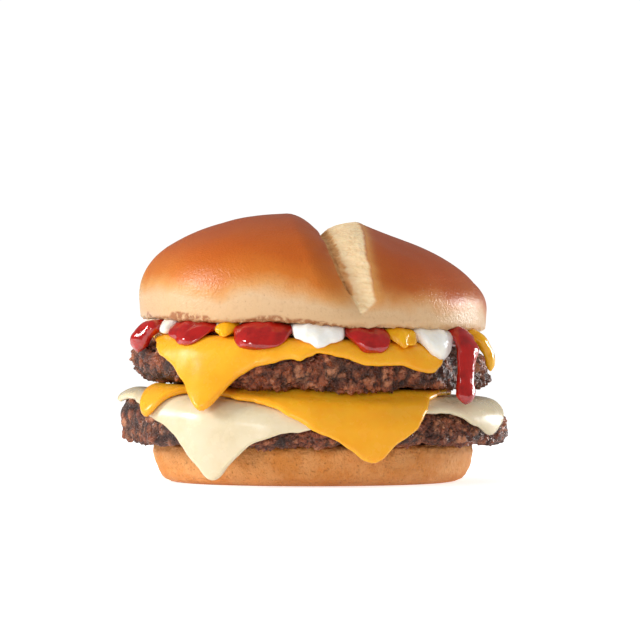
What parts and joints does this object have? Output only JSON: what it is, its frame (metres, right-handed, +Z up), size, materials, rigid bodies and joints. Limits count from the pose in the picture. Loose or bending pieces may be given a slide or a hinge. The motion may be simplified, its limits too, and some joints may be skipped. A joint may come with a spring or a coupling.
{
  "type": "double cheeseburger",
  "caption": "Stacked cheeseburger with a split-top crown, beef patties, draped cheese slices and squeezed-out sauces.",
  "frame": {"origin": "middle of the heel's flat underside, on the surface the burger stands on", "axes": "+Z up through the stack, -Y towards the front, +X to the right as seen from the front"},
  "size_m": [0.1089, 0.1116, 0.0745],
  "materials": {
    "heel_crust": "dry, golden brown baked bread",
    "crown_crust": "soft shine, brown on top and pale at the rim",
    "beef": "coarse ground beef, browned and moist",
    "white_cheese": "melted, smooth and satin",
    "yellow_cheese": "melted, smooth and satin",
    "mayonnaise": "thick and glossy",
    "ketchup": "wet and glossy",
    "mustard": "wet and glossy"
  },
  "bodies": {
    "root": {"heel": "heel_crust", "lower_patty": "beef", "white_slice": "white_cheese", "yellow_slice": "yellow_cheese", "upper_patty": "beef", "upper_slice": "yellow_cheese", "mayonnaise": "mayonnaise", "ketchup_left": "ketchup", "ketchup_front_left": "ketchup", "ketchup_front_right": "ketchup", "ketchup_back_right": "ketchup", "ketchup_back": "ketchup", "ketchup_run_left": "ketchup", "ketchup_run_right": "ketchup", "mustard_left": "mustard", "mustard_front_right": "mustard", "mustard_back": "mustard", "mustard_back_left": "mustard", "mustard_run_right": "mustard", "crown": "crown_crust"}
  },
  "joints": []
}
